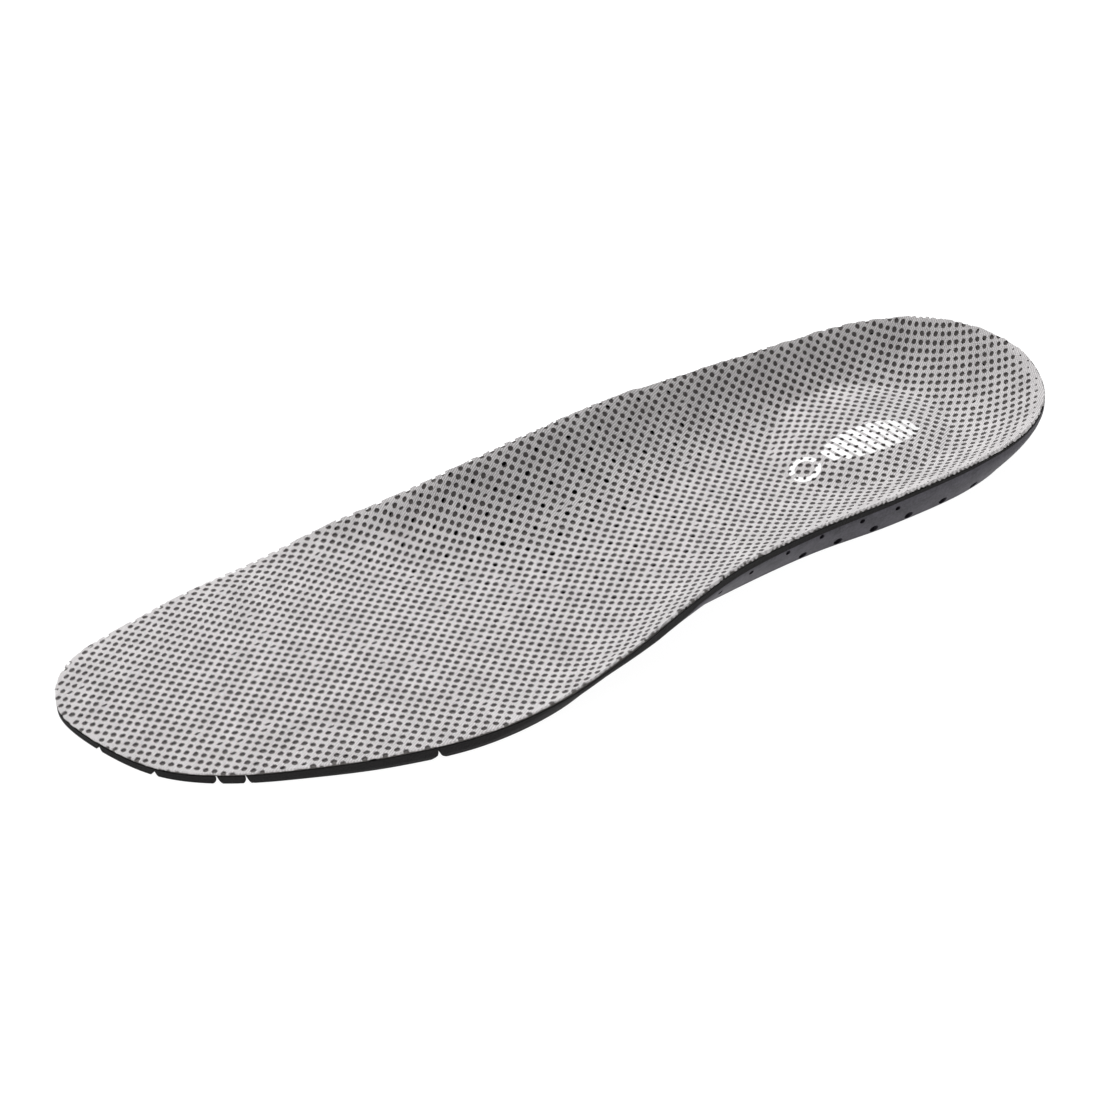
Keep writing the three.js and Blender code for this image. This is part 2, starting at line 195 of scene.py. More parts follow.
RIM = sample_rim()
COUNT = len(RIM)
SPINE = middle_line()
REACH = np.hypot(*(RIM[:, :2] - SPINE[:, :2]).T)


def towards_rim(share):
    """Points in plan at a share of the way from the middle line to the rim: x, then y."""
    return (SPINE[:, k] + share * (RIM[:, k] - SPINE[:, k]) for k in (0, 1))


# ------------------------------------------------------------------ the bed as a grid of heights
RASTER = 0.5 * MM
MARGIN = 6 * MM  # the grid goes this far past the insole
PAST_RIM, BED_ROWS = 1.16, 72  # the surface is drawn this far past the rim, in so many rows
GAP_FILL, BED_SOFTNESS = 2 * MM, 0.8 * MM
GRID_X = np.arange(-LENGTH / 2 - MARGIN, LENGTH / 2 + MARGIN, RASTER)
GRID_Y = np.arange(-WIDTH / 2 - MARGIN, WIDTH / 2 + MARGIN, RASTER)


def raw_bed():
    """Heights over the grid, by rays from above on to the surface spanned by rim and middle line."""
    shares = np.linspace(0, PAST_RIM, BED_ROWS)[:, None]
    x, y = towards_rim(shares)
    climb = RIM[:, 3] - SPINE[:, 2]
    lip = LIP_DROP * smoothstep(*LIP_CLIMB, climb)
    roll = np.clip(1 - (1 - shares) * REACH / LIP_WIDTH, 0, 2) ** 2
    z = SPINE[:, 2] + (climb + lip) * shares ** RIM[:, 5] - lip * roll
    corners = np.column_stack([x.ravel(), y.ravel(), z.ravel()])
    rows = [row * COUNT for row in range(len(shares) - 1)]
    ring = [(s, (s + 1) % COUNT) for s in range(COUNT)]
    quads = [(r + a, r + b, r + COUNT + b, r + COUNT + a) for r in rows for a, b in ring]
    surface = BVHTree.FromPolygons(corners.tolist(), quads)
    down = Vector((0, 0, -1))
    hits = [surface.ray_cast(Vector((px, py, 1)), down)[0] for px in GRID_X for py in GRID_Y]
    heights = np.array([math.nan if hit is None else hit.z for hit in hits])
    return heights.reshape(len(GRID_X), len(GRID_Y))


def blurred(field, sigma):
    """A soft version of a field over the grid; cells without a value are filled from their side."""
    known = ~np.isnan(field)
    values, weights = np.where(known, field, 0), known.astype(float)
    reach = int(3 * sigma / RASTER) + 1
    kernel = np.exp(-0.5 * (np.arange(-reach, reach + 1) * RASTER / sigma) ** 2)
    for axis in (0, 1):
        values, weights = (
            np.apply_along_axis(np.convolve, axis, f, kernel, "same") for f in (values, weights)
        )
    return np.where(weights > 1e-9, values / np.maximum(weights, 1e-9), math.nan)


def filled(field):
    """The field carried on outwards, until every cell has a value."""
    while np.isnan(field).any():
        field = np.where(np.isnan(field), blurred(field, GAP_FILL), field)
    return field


def dome_height(x, y):
    reach = np.hypot((x - DOME_X) / (DOME_LENGTH / 2), (y - DOME_Y) / (DOME_WIDTH / 2))
    return DOME_RISE * np.clip(1 - reach**DOME_FULLNESS, 0, None)


def look_up(field, x, y):
    """Values of a field over the grid between its cells."""
    u = np.clip((x - GRID_X[0]) / RASTER, 0, len(GRID_X) - 1.001)
    v = np.clip((y - GRID_Y[0]) / RASTER, 0, len(GRID_Y) - 1.001)
    i, j = u.astype(int), v.astype(int)
    a, b = u - i, v - j
    near = field[i, j] * (1 - b) + field[i, j + 1] * b
    far = field[i + 1, j] * (1 - b) + field[i + 1, j + 1] * b
    return near * (1 - a) + far * a


BED = blurred(filled(raw_bed()), BED_SOFTNESS)
BED += dome_height(GRID_X[:, None], GRID_Y[None, :])
SLOPE_X, SLOPE_Y = np.gradient(BED, RASTER)
STEEP = np.sqrt(1 + SLOPE_X**2 + SLOPE_Y**2)  # turns a thickness into a drop


def walked(stretch, axis, start):
    """Distance walked over the bed along one axis, from the grid line at start."""
    steps = np.moveaxis(stretch, axis, 0)
    walk = np.zeros_like(steps)
    walk[1:] = np.cumsum((steps[1:] + steps[:-1]) / 2, axis=0) * RASTER
    walk -= walk[start]
    return np.moveaxis(walk, 0, axis)


CLOTH_U = walked(np.sqrt(1 + SLOPE_X**2), 0, int(np.argmin(abs(GRID_X))))
CLOTH_V = walked(np.sqrt(1 + SLOPE_Y**2), 1, int(np.argmin(abs(GRID_Y))))


def to_cloth(x, y):
    """Where a point of the bed lies on the cloth before the cloth is laid."""
    return look_up(CLOTH_U, x, y), look_up(CLOTH_V, x, y)


def from_cloth(u, v):
    """Where a point of the flat cloth comes to lie on the bed, found in short steps."""
    x, y = u.copy(), v.copy()
    rounds, ease = 40, 0.7
    for _ in range(rounds):
        short_u, short_v = u - look_up(CLOTH_U, x, y), v - look_up(CLOTH_V, x, y)
        x += ease * short_u / np.sqrt(1 + look_up(SLOPE_X, x, y) ** 2)
        y += ease * short_v / np.sqrt(1 + look_up(SLOPE_Y, x, y) ** 2)
    return x, y


# ------------------------------------------------------------------ mesh helpers
def piece_from(name, shape):
    mesh = bpy.data.meshes.new(name)
    shape.to_mesh(mesh)
    shape.free()
    piece = bpy.data.objects.new(name, mesh)
    bpy.context.scene.collection.objects.link(piece)
    return piece


def corners_of(mesh):
    points = np.zeros(len(mesh.vertices) * 3)
    mesh.vertices.foreach_get("co", points)
    return points.reshape(-1, 3)


def move_corners(mesh, points):
    mesh.vertices.foreach_set("co", np.asarray(points, float).ravel())
    mesh.update()


def discard(piece):
    """Removes a helper piece with its mesh."""
    mesh = piece.data
    bpy.data.objects.remove(piece)
    bpy.data.meshes.remove(mesh)


def copy_of(piece, name):
    twin = bpy.data.objects.new(name, piece.data.copy())
    bpy.context.scene.collection.objects.link(twin)
    return twin


def combine(piece, tool, operation):
    """Cuts a closed piece by another closed one, or keeps what they share; the tool goes."""
    modifier = piece.modifiers.new("cut", "BOOLEAN")
    modifier.operation = operation
    modifier.solver = "MANIFOLD"
    modifier.object = tool
    graph = bpy.context.evaluated_depsgraph_get()
    mesh = bpy.data.meshes.new_from_object(piece.evaluated_get(graph))
    piece.modifiers.clear()
    before, piece.data = piece.data, mesh
    bpy.data.meshes.remove(before)
    discard(tool)
    return piece


def sheet_of(points, name):
    """A closed body from rows of points around the rim, first and last row on the middle line."""
    rows, count = len(points), points.shape[1]
    shape = bmesh.new()
    bmesh.ops.create_grid(shape, x_segments=count, y_segments=rows - 1, size=1)
    shape.verts.ensure_lookup_table()
    wrapped = np.concatenate([points, points[:, :1]], axis=1).reshape(-1, 3)
    for vert, point in zip(shape.verts, wrapped):
        vert.co = point
    bmesh.ops.remove_doubles(shape, verts=shape.verts[:], dist=1e-6)
    bmesh.ops.recalc_face_normals(shape, faces=shape.faces[:])
    return piece_from(name, shape)


def verts_in(elements):
    return [element for element in elements if isinstance(element, bmesh.types.BMVert)]


def bar_from(name, section, run):
    """A closed bar: a ring of points drawn out along a vector."""
    shape = bmesh.new()
    ring = bmesh.ops.create_circle(shape, cap_ends=True, radius=1, segments=len(section))
    for vert, point in zip(ring["verts"], section):
        vert.co = point
    made = bmesh.ops.extrude_face_region(shape, geom=shape.faces[:])["geom"]
    bmesh.ops.translate(shape, verts=verts_in(made), vec=run)
    bmesh.ops.recalc_face_normals(shape, faces=shape.faces[:])
    return piece_from(name, shape)


def prism(name, outline, low, high):
    """A closed upright block over an outline given as points in plan."""
    return bar_from(name, [(x, y, low) for x, y in outline], (0, 0, high - low))


def join(parts, name):
    """One mesh from several that don't touch."""
    shape = bmesh.new()
    for part in parts:
        shape.from_mesh(part.data)
        discard(part)
    return piece_from(name, shape)


def smooth(piece):
    """Smooth shading that keeps edges over 35 degrees sharp."""
    piece.data.shade_smooth()
    piece.data.set_sharp_from_angle(angle=math.radians(35))


# ------------------------------------------------------------------ knitted cloth
def cut_line(shrink=0.0, fray=0.0):
    """The rim as the cloth's cutting line, pulled in by shrink and roughened by fray."""
    rough = shrink + fray * CLOTH_NOISE.uniform(-1, 1, COUNT)
    return np.column_stack(to_cloth(*towards_rim(1 - rough / REACH)))


def inside(points, outline, slack):
    """Which points lie within the outline or at most about slack outside it."""
    centre = outline.mean(0)
    grown = centre + (outline - centre) * (1 + slack / (WIDTH / 2))
    x, y = points[:, :1], points[:, 1:]
    ax, ay = grown.T
    bx, by = np.roll(grown, -1, axis=0).T
    crosses = (ay > y) != (by > y)
    rise = np.where(by == ay, 1, by - ay)
    return (crosses & (x < ax + (y - ay) * (bx - ax) / rise)).sum(1) % 2 == 1


def holed_cloth(pitch, turned, outline, chosen, half_sizes, shut=lambda place: 0):
    """A flat net: a grid whose chosen corners open into oval holes of eight sides."""
    reach = 0.75 * LENGTH if turned else 0.55 * LENGTH
    count = 2 * int(reach / pitch)
    shape = bmesh.new()
    bmesh.ops.create_grid(shape, x_segments=count, y_segments=count, size=count * pitch / 2)
    if turned:
        quarter = Matrix.Rotation(math.radians(45), 3, "Z")
        bmesh.ops.rotate(shape, verts=shape.verts[:], cent=(0, 0, 0), matrix=quarter)
    places = np.array([vert.co[:2] for vert in shape.verts])
    wanted = inside(places, outline, 5 * MM)
    spare = [vert for vert, keep in zip(shape.verts, wanted) if not keep]
    bmesh.ops.delete(shape, geom=spare, context="VERTS")
    holes = [vert for vert in shape.verts if not vert.is_boundary and chosen(vert.co)]
    bmesh.ops.bevel(
        shape, geom=holes, offset=min(half_sizes), offset_type="OFFSET", affect="VERTICES",
        segments=2, profile=0.5, material=-1,
    )
    centres = [vert for vert in shape.verts if len(vert.link_edges) == 4 and is_hole_middle(vert)]
    for centre in centres:
        shape_hole(centre, half_sizes, shut(centre.co))
    bmesh.ops.delete(shape, geom=centres, context="VERTS")
    return shape


def tree_of(outline):
    """A look-up of the outline's nearest point, numbered as the rim's samples are."""
    tree = KDTree(COUNT)
    for index, (u, v) in enumerate(outline):
        tree.insert((u, v, 0), index)
    tree.balance()
    return tree


def pressed(rim, place):
    """How far a hole is pressed shut: along the outer side of the heel, close to the rim."""
    _, index, distance = rim.find((place.x, place.y, 0))
    x, y = RIM[index, :2]
    near_rim = smoothstep(3.4 * MM, 1.2 * MM, distance)
    near_heel = smoothstep(-30 * MM, -65 * MM, x)
    return 0.6 * near_rim * near_heel * (y > 0)


def is_hole_middle(vert):
    """A bevelled corner turns into four small quads round its old place."""
    small = 0.72 * MM**2
    return all(face.calc_area() < small for face in vert.link_faces)


def bearing(start, end):
    return math.atan2(end.y - start.y, end.x - start.x)


def shape_hole(centre, half_sizes, shut):
    """Draws the ring of corners round a hole's middle into a slightly uneven oval."""
    ring = {vert for face in centre.link_faces for vert in face.verts} - {centre}
    along, across = (size * DICE.gauss(1, HOLE_UNEVEN) * (1 - shut) for size in half_sizes)
    if DICE.random() < PINCHED:
        across *= PINCH
    shift = Vector((DICE.gauss(0, HOLE_SHIFT), DICE.gauss(0, HOLE_SHIFT), 0))
    lean = DICE.gauss(0, HOLE_UNEVEN)
    for vert in sorted(ring, key=lambda corner: bearing(centre.co, corner.co)):
        angle = bearing(centre.co, vert.co)
        x = along * math.cos(angle)
        y = across * math.sin(angle) + lean * x
        uneven = DICE.gauss(1, RAGGED)
        vert.co = centre.co + shift + Vector((x * uneven, y * uneven, 0))


def thicken(shape, thickness, pillow):
    """Gives the net its thickness below z = 0 and lets the yarn between the holes stand proud."""
    middles = bmesh.ops.poke(shape, faces=shape.faces[:])["verts"]
    for vert in middles:
        vert.co.z = pillow * DICE.uniform(0.6, 1.2)
    made = bmesh.ops.extrude_face_region(shape, geom=shape.faces[:], use_keep_orig=True)["geom"]
    for vert in verts_in(made):
        vert.co.z = -thickness
    bmesh.ops.recalc_face_normals(shape, faces=shape.faces[:])


def name_cloth_map(mesh):
    """The cloth's own flat coordinates, which its yarn pattern follows."""
    points = corners_of(mesh)
    loops = np.zeros(len(mesh.loops), int)
    mesh.loops.foreach_get("vertex_index", loops)
    layer = mesh.uv_layers.new(name="cloth")
    layer.data.foreach_set("uv", points[loops][:, :2].ravel())


def off_bed(x, y, height):
    """Points that far above the bed, square to it."""
    lean = height / look_up(STEEP, x, y)
    slope_x, slope_y = look_up(SLOPE_X, x, y), look_up(SLOPE_Y, x, y)
    return np.column_stack([x - slope_x * lean, y - slope_y * lean, look_up(BED, x, y) + lean])


def lay(piece):
    """Lays flat cloth on the bed: its z becomes a height square to the bed."""
    name_cloth_map(piece.data)
    u, v, height = corners_of(piece.data).T
    move_corners(piece.data, off_bed(*from_cloth(u, v), height))


def make_knit():
    """The flat knitted mesh, cut to the insole's outline."""
    outline = cut_line(fray=FRAY)
    rim = tree_of(outline)

    def open_here(co):
        return rim.find((co.x, co.y, 0))[2] > HEM

    sizes = (HOLE_LONG, HOLE_WIDE)
    shape = holed_cloth(HOLE_STEP, True, outline, open_here, sizes, lambda co: pressed(rim, co))
    thicken(shape, COVER, PILLOW)
    knit = piece_from("top_cover_knit", shape)
    combine(knit, prism("knit_cutter", outline, -LENGTH, LENGTH), "INTERSECT")
    press_hem(knit, rim)
    return knit, outline


def press_hem(knit, rim):
    """Draws the underside of the cut edge down over the lining's edge, deeper round the heel."""
    for vert in knit.data.vertices:
        u, v, height = vert.co
        _, index, distance = rim.find((u, v, 0))
        if height < -COVER / 2 and distance < HEM:
            to_heel = smoothstep(*HEM_DEEPENS, RIM[index, 0])
            vert.co.z -= HEM_DEPTH_TOES + (HEM_DEPTH_HEEL - HEM_DEPTH_TOES) * to_heel


def make_lining():
    """The flat backing knit with its staggered rows of punched holes, cut a hem smaller."""
    cell = PERFORATION_PITCH / 4
    outline = cut_line(shrink=HEM)

    def punched(co):
        i, j = round(co.x / cell) % 4, round(co.y / cell) % 4
        return i == j and i % 2 == 0

    shape = holed_cloth(cell, False, outline, punched, (PERFORATION, PERFORATION))
    thicken(shape, LINING, 0)
    lining = piece_from("cover_lining_knit", shape)
    move_corners(lining.data, corners_of(lining.data) - (0, 0, COVER + SEAM))
    return combine(lining, prism("lining_cutter", outline, -LENGTH, LENGTH), "INTERSECT"), outline


# ------------------------------------------------------------------ heel print
PRINT_X, PRINT_Y = DOME_X + 4 * MM, DOME_Y + 5.2 * MM
PRINT_REACH = 26 * MM
RING_FROM_MIDDLE, RING_OUTER, RING_INNER = 17 * MM, 4.4 * MM, 2.9 * MM
RING_HALVES = ((0.03, 0.47), (0.53, 0.97))  # in turns
BARS, BAR, BAR_STEP = 10, 2.0 * MM, 2.9 * MM
BARS_FROM_MIDDLE, BAR_HALF, BAR_SLANT = 10 * MM, 6 * MM, 0.3


def arc_outline(centre, radii, turns):
    """A bent stroke: between two radii, from one share of a turn to another."""
    (x, y), (outer, inner), (first, last) = centre, radii, turns
    shares = [first + (last - first) * k / 14 for k in range(15)]
    edge = [(outer, share) for share in shares] + [(inner, share) for share in reversed(shares)]
    return [(x + r * math.cos(TAU * share), y + r * math.sin(TAU * share)) for r, share in edge]


def mark_outlines():
    """A made-up mark: a split ring beside an oval of slanted bars."""
    ring = (PRINT_X + RING_FROM_MIDDLE, PRINT_Y)
    outlines = [arc_outline(ring, (RING_OUTER, RING_INNER), turns) for turns in RING_HALVES]
    for index in range(BARS):
        x, y = PRINT_X + BARS_FROM_MIDDLE - index * BAR_STEP, PRINT_Y
        half = BAR_HALF * math.sqrt(1 - ((2 * index + 1) / BARS - 1) ** 2)
        lean = BAR_SLANT * half
        foot = [(x + lean, y - half), (x + lean - BAR, y - half)]
        head = [(x - lean - BAR, y + half), (x - lean, y + half)]
        outlines.append(foot + head)
    return outlines


def make_print():
    """Film that bridges the yarn, so that only small openings are left over the holes."""
    u, v = to_cloth(np.array([PRINT_X]), np.array([PRINT_Y]))
    turns = TAU * np.arange(48) / 48
    patch = np.column_stack([u + PRINT_REACH * np.cos(turns), v + PRINT_REACH * np.sin(turns)])
    sizes = (FILM_HOLE * HOLE_LONG, FILM_HOLE * HOLE_WIDE)
    shape = holed_cloth(HOLE_STEP, True, patch, lambda co: True, sizes)
    thicken(shape, FILM, PILLOW)
    film = piece_from("heel_print_mark", shape)
    parts = []
    for number, outline in enumerate(mark_outlines()):
        u, v = to_cloth(*np.array(outline).T)
        parts.append(prism(f"mark_{number}", list(zip(u, v)), -FILM, COVER))
    combine(film, join(parts, "stamp"), "INTERSECT")
    move_corners(film.data, corners_of(film.data) + (0, 0, 1.2 * FILM))
    return film


# ------------------------------------------------------------------ foam and shell
TOP_ROWS = (0, 0.2, 0.4, 0.55, 0.68, 0.78, 0.86, 0.92, 0.97, 1)
# Height of the wall's upright part in mm, at shares of the length from the heel.
EDGE = ((0.5, 2.2), (0.56, 0.4), (0.62, 0.3), (0.68, 2.2))
WALL_STEPS = 9
BULGE = 1.35  # above 1 the wall leaves the rim upright and turns in late
FOOT_ROUND = 0.7 * MM


def bed_rows(shares, drop):
    """Rows of points a drop below the bed, at shares of the way from middle line to rim."""
    rows = []
    for share in shares:
        x, y = towards_rim(share)
        rows.append(off_bed(x, y, -drop(x, y)))
    return rows


def upright_height(x, tuck, top):
    """Height at which the wall starts to turn in."""
    shares, edges = zip(*EDGE)
    edge = np.interp(x / LENGTH + 0.5, shares, edges) * MM
    return np.minimum(np.maximum(tuck * 0.9, top - edge), top - 0.3 * MM)


def wall_rows(brim):
    """From the brim down: upright, then turning in to the foot, with a rounded foot edge."""
    top = brim[:, 2]
    upright = upright_height(RIM[:, 0], RIM[:, 4], top)
    foot = FOOT_ROUND * np.minimum(1, upright / (3 * FOOT_ROUND))
    rows = []
    for step in range(WALL_STEPS + 1):
        down = step / WALL_STEPS
        rows.append((RIM[:, 4] * down**BULGE, foot + (upright - foot) * (1 - down)))
    for degrees in (30, 60, 90):
        turn = math.radians(degrees)
        rows.append((RIM[:, 4] + foot * (1 - math.cos(turn)), foot * (1 - math.sin(turn))))
    points = []
    for inward, z in rows:
        # At its foot the wall follows the rim in plan, and at its top it meets the brim.
        offset = (z / top)[:, None] * (brim - RIM[:, :3])[:, :2]
        x, y = np.column_stack([*towards_rim(1 - inward / REACH)]).T + offset.T
        points.append(np.column_stack([x, y, z]))
    return points


def make_body():
    """The whole block of foam and shell under the lining, in one piece."""
    top = bed_rows(TOP_ROWS, lambda x, y: FOAM_TOP)
    wall = wall_rows(top[-1])
    middle = SPINE * (1, 1, 0)
    sole = [middle + share * (wall[-1] * (1, 1, 0) - middle) for share in (0.6, 0)]
    return sheet_of(np.array(top + wall + sole), "insole_body")


def band_thickness(x):
    """Thickness of the foam over the shell along the foot."""
    to_middle = smoothstep(-LENGTH / 2, BAND_MIDDLE_FROM_HEEL - LENGTH / 2, x)
    to_front = smoothstep(BAND_MIDDLE_FROM_HEEL - LENGTH / 2, SHELL_FRONT, x)
    return BAND_HEEL + (BAND_MIDDLE - BAND_HEEL) * to_middle + (BAND_FRONT - BAND_MIDDLE) * to_front


def make_shell_room(name, play):
    """The space that the shell takes, up to play short of the foam over it."""
    past_rim, deep = 1.06, -5 * MM
    rows = bed_rows((*TOP_ROWS, past_rim), lambda x, y: FOAM_TOP + band_thickness(x))
    for row in rows:
        taper = smoothstep(SHELL_FRONT + 2 * MM, SHELL_FRONT - SHELL_TAPER, row[:, 0])
        row[:, 2] = np.maximum(row[:, 2], SHELL_FLOOR) * taper - play
        ahead = row[:, 0] > SHELL_FRONT
        row[ahead, 2] = deep / 2
    under = [row * (1, 1, 0) + (0, 0, deep) for row in (rows[-1], rows[0])]
    return sheet_of(np.array(rows + under), name)


def trimmer(section, start, end):
    """A bar along a line and well past its ends; the section is (distance to the right, height)."""
    direction = (end - start).normalized()
    right = Vector((direction.y, -direction.x, 0))
    first = start - direction * LENGTH
    ring = [first + right * side + Vector((0, 0, height)) for side, height in section]
    return bar_from("trimmer", ring, direction * ((end - start).length + 2 * LENGTH))


def trim_side(piece, start, end, radius):
    """Cuts off what lies right of a groove's line and rounds the lower edge that is left."""
    far, tall, deep = 2 * LENGTH, 0.1, -0.02
    face = -SLIT / 2
    arc = [
        (face - radius * (1 - math.cos(turn)), radius * (1 - math.sin(turn)))
        for turn in (math.radians(90) * k / 8 for k in range(9))
    ]
    section = [(far, deep), (far, tall), (face, tall), *arc, (face - radius, deep)]
    return combine(piece, trimmer(section, start, end), "DIFFERENCE")


def across(x, forwards):
    """A line straight across the insole; what lies ahead of it, or behind it, is on its right."""
    ends = Vector((x, -1, 0)), Vector((x, 1, 0))
    return ends if forwards else ends[::-1]


def toe_line(split):
    """The groove between two toe islands, from the second toe groove to the toe tip."""
    back, front = split
    return Vector((SECOND_GROOVE, back * BALL_WIDTH, 0)), Vector((LENGTH / 2, front * BALL_WIDTH, 0))


def make_rear_foam(body):
    foam = trim_side(copy_of(body, "rear_comfort_foam"), *across(BALL_GROOVE, True), BALL_ROUND)
    combine(foam, make_shell_room("shell_room", 0), "DIFFERENCE")
    return combine(foam, pad_block("pad_room", PAD_FLOOR - 0.1 * MM, SEAM), "DIFFERENCE")


def make_ball_foam(body):
    foam = trim_side(copy_of(body, "ball_cushion_foam"), *across(BALL_GROOVE, False), BALL_ROUND)
    return trim_side(foam, *across(TOE_GROOVE, True), TOE_ROUND)


def make_toe_bar(body):
    foam = trim_side(copy_of(body, "toe_bar_cushion"), *across(TOE_GROOVE, False), TOE_ROUND)
    return trim_side(foam, *across(SECOND_GROOVE, True), TOE_ROUND)


def make_toe_islands(body):
    outer, inner = toe_line(TOE_SPLIT_OUTER), toe_line(TOE_SPLIT_INNER)
    toes = trim_side(copy_of(body, "toes"), *across(SECOND_GROOVE, False), TOE_ROUND)
    islands = {
        "toe_foam_outer": [outer],
        "toe_foam_middle": [outer[::-1], inner],
        "toe_foam_inner": [inner[::-1]],
    }
    made = {}
    for node, lines in islands.items():
        island = copy_of(toes, node.replace("foam", "cushion"))
        for line in lines:
            trim_side(island, *line, TOE_ROUND)
        made[node] = island
    discard(toes)
    return made


def pad_block(name, floor, play):
    """An oval block under the heel dome, rounded at its foot."""
    tall = 50 * MM
    shape = bmesh.new()
    made = bmesh.ops.create_cone(
        shape, cap_ends=True, segments=72, radius1=0.5, radius2=0.5, depth=1,
        matrix=Matrix.Translation((0, 0, 0.5)),
    )
    size = (PAD_LENGTH + 2 * play, PAD_WIDTH + 2 * play, tall)
    bmesh.ops.scale(shape, verts=made["verts"], vec=size)
    bmesh.ops.translate(shape, verts=made["verts"], vec=(DOME_X, DOME_Y, floor))
    foot = [edge for edge in shape.edges if all(v.co.z < floor + MM for v in edge.verts)]
    bmesh.ops.bevel(
        shape, geom=foot, offset=1.0 * MM, offset_type="OFFSET", affect="EDGES",
        segments=4, profile=0.5, material=-1,
    )
    return piece_from(name, shape)


def make_heel_pad(body):
    pad = copy_of(body, "heel_gel_pad")
    return combine(pad, pad_block("pad_form", PAD_FLOOR, 0), "INTERSECT")


def make_shell(body):
    shell = copy_of(body, "heel_arch_cup")
    combine(shell, make_shell_room("shell_form", 2 * SEAM), "INTERSECT")
    combine(shell, pad_block("pad_well", SHELL_FLOOR, 2 * SEAM), "DIFFERENCE")
    return combine(shell, make_pits(), "DIFFERENCE")


def wall_point(x, height):
    """A point on the outer wall of the shell at a place along the foot, and the way inwards."""
    outer = [index for index in range(COUNT) if RIM[index, 1] > SPINE[index, 1]]
    at = min(outer, key=lambda index: abs(RIM[index, 0] - x))
    inwards = Vector(SPINE[at, :2] - RIM[at, :2]).normalized()
    tuck, top = RIM[at, 4], RIM[at, 3] - FOAM_TOP
    upright = upright_height(RIM[at, 0], tuck, top)
    inset = tuck * max(0, 1 - height / upright) ** BULGE
    place = Vector(RIM[at, :2]) + inwards * inset
    return Vector((*place, height)), Vector((*inwards, 0))


def make_pits():
    """Pits moulded into the shell: a field in its sole, and two rows along its outer wall."""
    pits = []
    first_x, first_y = PIT_FIRST
    for row in range(-12, 0):
        for column in range(-8, 8):
            x = first_x + (column + 0.5 * (row % 2)) * PIT_PITCH
            y = first_y + row * PIT_ROWS
            if in_sole(x, y):
                start = Vector((x, y, -MM))
                pits.append(make_pit(start, Vector((0, 0, 1)), PIT_RADIUS, PIT_DEPTH))
    for start, count, pitch, height, radius in WALL_PITS:
        for index in range(count):
            place, inwards = wall_point(start - index * pitch, height)
            pits.append(make_pit(place - inwards * MM, inwards, radius, WALL_PIT_DEPTH))
    return join(pits, "pits")


def in_sole(x, y):
    """Whether a pit fits between the wall's foot, the pad and the shell's front."""
    to_rim = np.hypot(RIM[:, 0] - x, RIM[:, 1] - y)
    clear_of_wall = (to_rim > RIM[:, 4] + PIT_TO_WALL).all()
    half_long, half_wide = PAD_LENGTH / 2 + PIT_TO_PAD, PAD_WIDTH / 2 + PIT_TO_PAD
    clear_of_pad = math.hypot((x - DOME_X) / half_long, (y - DOME_Y) / half_wide) > 1
    within = inside(np.array([[x, y]]), RIM[:, :2], 0)[0]
    return x < SHELL_FRONT - PIT_TO_FRONT and clear_of_wall and clear_of_pad and within


def make_pit(start, along, radius, depth):
    """A round pit from a point inwards, a little narrower at its end."""
    shape = bmesh.new()
    turn = along.to_track_quat("Z", "Y").to_matrix().to_4x4()
    bmesh.ops.create_cone(
        shape, cap_ends=True, segments=16, radius1=radius, radius2=0.75 * radius, depth=depth,
        matrix=Matrix.Translation(start + along * depth / 2) @ turn,
    )
    return piece_from("pit", shape)


# ------------------------------------------------------------------ materials
def linear(hex_colour):
    """An sRGB hex colour as linear light, with alpha."""
    channels = [int(hex_colour[k : k + 2], 16) / 255 for k in (1, 3, 5)]
    light = [c / 12.92 if c <= 0.04045 else ((c + 0.055) / 1.055) ** 2.4 for c in channels]
    return (*light, 1)


def new_material(name, **constants):
    """A material and its shader, with the shader's own sockets set."""
    material = bpy.data.materials.new(name)
    material.use_nodes = True
    shader = material.node_tree.nodes["Principled BSDF"]
    for socket, value in constants.items():
        shader.inputs[socket.replace("_", " ")].default_value = value
    return material, shader


def add(material, kind, inputs=None, **settings):
    """One node with its settings; inputs holds numbers, colours or other nodes' output sockets."""
    made = material.node_tree.nodes.new("ShaderNode" + kind)
    for name, value in settings.items():
        setattr(made, name, value)
    for key, value in (inputs or {}).items():
        if isinstance(value, bpy.types.NodeSocket):
            material.node_tree.links.new(value, made.inputs[key])
        else:
            made.inputs[key].default_value = value
    return made


def noise(material, place, scale, detail):
    """A cloudy grey value; its clouds are about 1 / scale mm across."""
    inputs = {"Vector": place, "Scale": scale, "Detail": detail}
    return add(material, "TexNoise", inputs).outputs["Fac"]


def ramp(material, value, low, high):
    """A grey value spread between two colours."""
    made = add(material, "Mix", {0: value, 6: linear(low), 7: linear(high)}, data_type="RGBA")
    return made.outputs[2]


def in_mm(material, output, turn=0.0):
    """Object or cloth coordinates in millimetres, turned about z."""
    if output == "cloth":
        source = add(material, "UVMap", uv_map="cloth").outputs[0]
    else:
        source = add(material, "TexCoord").outputs["Object"]
    inputs = {"Vector": source, "Scale": (1 / MM, 1 / MM, 1 / MM), "Rotation": (0, 0, turn)}
    return add(material, "Mapping", inputs).outputs[0]


def finish_with(material, shader, colour, bump_value, depth):
    """Joins a colour and a bump of a given depth to the shader."""
    links = material.node_tree.links
    links.new(colour, shader.inputs["Base Color"])
    bump = add(material, "Bump", {"Height": bump_value, "Distance": depth, "Strength": 1.0})
    links.new(bump.outputs[0], shader.inputs["Normal"])
    return material


